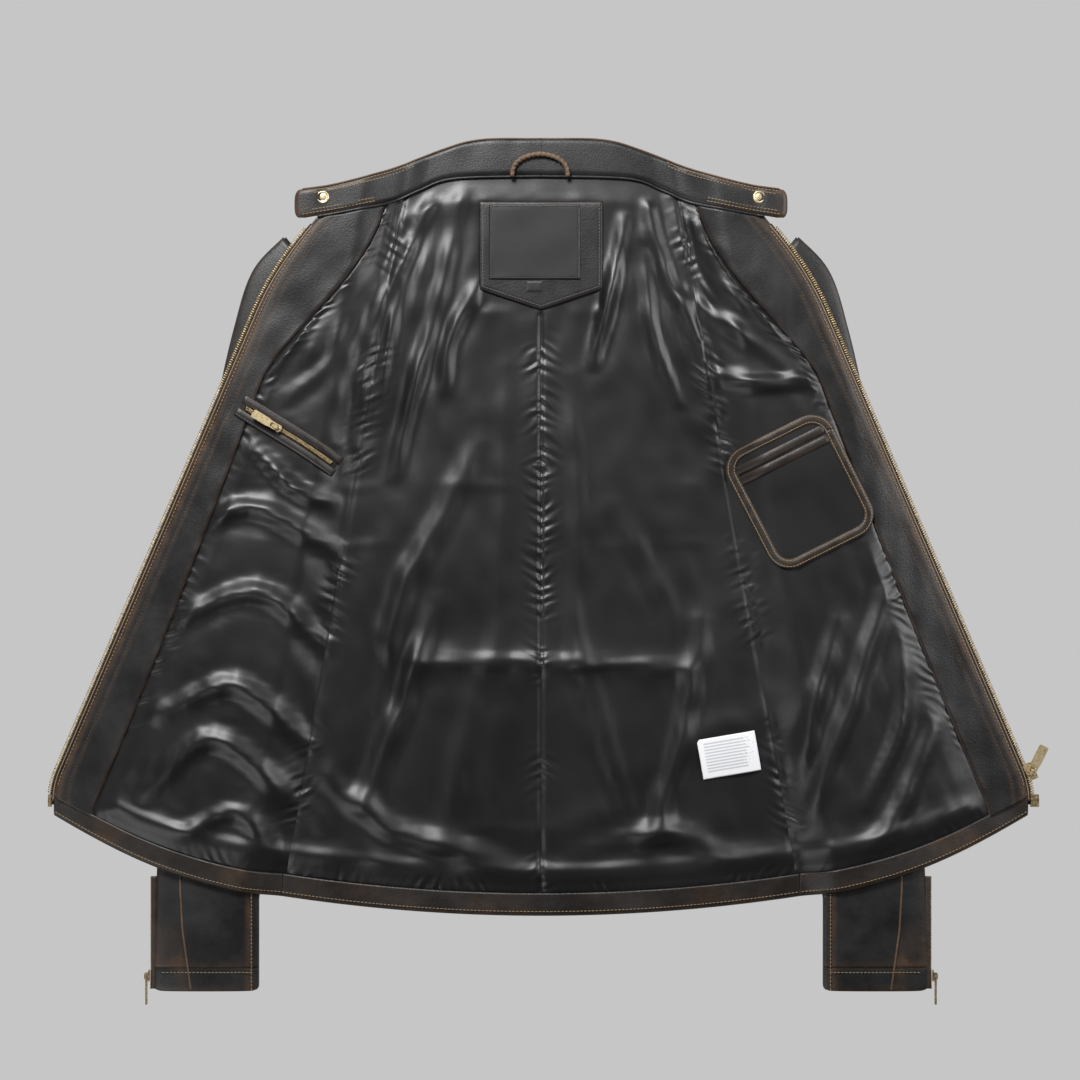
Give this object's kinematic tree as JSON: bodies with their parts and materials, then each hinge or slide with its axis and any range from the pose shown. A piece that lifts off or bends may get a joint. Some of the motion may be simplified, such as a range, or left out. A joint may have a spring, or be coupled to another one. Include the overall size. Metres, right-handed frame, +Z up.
{
  "type": "leather riding jacket",
  "caption": "Leather riding jacket lying open on its back, satin lined, with folding fronts, sliding zips, stand collar with snaps and inside pockets.",
  "frame": {"origin": "centre of the jacket's footprint, on the table it lies on", "axes": "+X across the jacket towards its own left front, +Y towards the collar, +Z up from the table"},
  "size_m": [0.924, 0.8002, 0.0322],
  "materials": {
    "leather_black": "grained, soft sheen",
    "leather_worn": "grained, rubbed brown",
    "satin_lining": "satin",
    "label_satin": "satin",
    "care_label": "matte",
    "antique_brass": "aged",
    "bright_brass": "polished",
    "zip_tape": "woven",
    "loop_cord": "rolled"
  },
  "bodies": {
    "jacket_back": {"sleeve_left": "leather_black", "sleeve_lining_left": "satin_lining", "cuff_band_left": "leather_worn", "sleeve_right": "leather_black", "sleeve_lining_right": "satin_lining", "cuff_band_right": "leather_worn", "back_shell": "leather_black", "back_lining": "satin_lining", "back_hem_facing": "leather_worn", "collar_back": "leather_black", "neck_patch": "leather_black", "neck_label": "label_satin", "size_tab": "label_satin", "care_label": "care_label", "cuff_zip_left": "antique_brass", "cuff_zip_right": "antique_brass"},
    "front_left": {"front_shell_left": "leather_black", "front_lining_left": "satin_lining", "front_facing_left": "leather_black", "front_hem_facing_left": "leather_worn", "zip_tape_left": "zip_tape", "zip_teeth_left": "antique_brass", "collar_end_left": "leather_black", "snap_cap_left": "bright_brass", "snap_socket_left": "antique_brass", "zip_retainer_box": "antique_brass", "patch_pocket_panel": "satin_lining", "patch_pocket_binding": "leather_worn", "patch_pocket_welt_upper": "leather_black", "patch_pocket_welt_lower": "leather_black"},
    "front_right": {"front_shell_right": "leather_black", "front_lining_right": "satin_lining", "front_facing_right": "leather_black", "front_hem_facing_right": "leather_worn", "zip_tape_right": "zip_tape", "zip_teeth_right": "antique_brass", "collar_end_right": "leather_black", "snap_cap_right": "bright_brass", "snap_socket_right": "antique_brass", "zip_insertion_pin": "antique_brass", "pocket_zip_welt": "leather_black", "pocket_zip_teeth": "antique_brass"},
    "main_slider": {"main_zip_slider": "bright_brass"},
    "main_puller": {"main_zip_puller": "bright_brass"},
    "pocket_slider": {"pocket_zip_slider": "bright_brass"},
    "pocket_puller": {"pocket_zip_puller": "bright_brass"},
    "cuff_slider_left": {"cuff_zip_left_slider": "bright_brass"},
    "cuff_puller_left": {"cuff_zip_left_puller": "bright_brass"},
    "cuff_slider_right": {"cuff_zip_right_slider": "bright_brass"},
    "cuff_puller_right": {"cuff_zip_right_puller": "bright_brass"},
    "loop": {"hanger_loop": "loop_cord"}
  },
  "joints": [
    {"name": "fold_left", "type": "hinge", "parent": "jacket_back", "child": "front_left", "pos_m": [0.17666, 0.02144, 0.0096], "axis": [0.172, -0.9851, 0], "range_deg": [0, 140]},
    {"name": "fold_right", "type": "hinge", "parent": "jacket_back", "child": "front_right", "pos_m": [-0.18834, 0.02144, 0.0096], "axis": [0.172, 0.9851, 0], "range_deg": [0, 140]},
    {"name": "main_zip_slide", "type": "slide", "parent": "front_left", "child": "main_slider", "axis": [-0.3986, 0.9167, 0.0282], "range_m": [0, 0.4]},
    {"name": "main_puller_swing", "type": "hinge", "parent": "main_slider", "child": "main_puller", "pos_m": [0.44639, -0.18582, 0.00915], "axis": [0.8948, -0.4459, -0.0216], "range_deg": [0, 150]},
    {"name": "pocket_zip_slide", "type": "slide", "parent": "front_right", "child": "pocket_slider", "axis": [0.8526, -0.5225, 0], "range_m": [0, 0.034]},
    {"name": "pocket_puller_swing", "type": "hinge", "parent": "pocket_slider", "child": "pocket_puller", "pos_m": [-0.24877, 0.13226, 0.03025], "axis": [0.5225, 0.8526, 0], "range_deg": [0, 45]},
    {"name": "cuff_zip_slide_left", "type": "slide", "parent": "jacket_back", "child": "cuff_slider_left", "axis": [0, 1, 0], "range_m": [0, 0.08]},
    {"name": "cuff_puller_swing_left", "type": "hinge", "parent": "cuff_slider_left", "child": "cuff_puller_left", "pos_m": [0.35836, -0.37406, 0.0075], "axis": [0, 0, 1], "range_deg": [0, 150]},
    {"name": "cuff_zip_slide_right", "type": "slide", "parent": "jacket_back", "child": "cuff_slider_right", "axis": [0, 1, 0], "range_m": [0, 0.08]},
    {"name": "cuff_puller_swing_right", "type": "hinge", "parent": "cuff_slider_right", "child": "cuff_puller_right", "pos_m": [-0.37003, -0.37406, 0.0075], "axis": [0, 0, -1], "range_deg": [0, 150]},
    {"name": "loop_flip", "type": "hinge", "parent": "jacket_back", "child": "loop", "pos_m": [-0.00583, 0.36394, 0.0104], "axis": [1, 0, 0], "range_deg": [0, 160]}
  ]
}
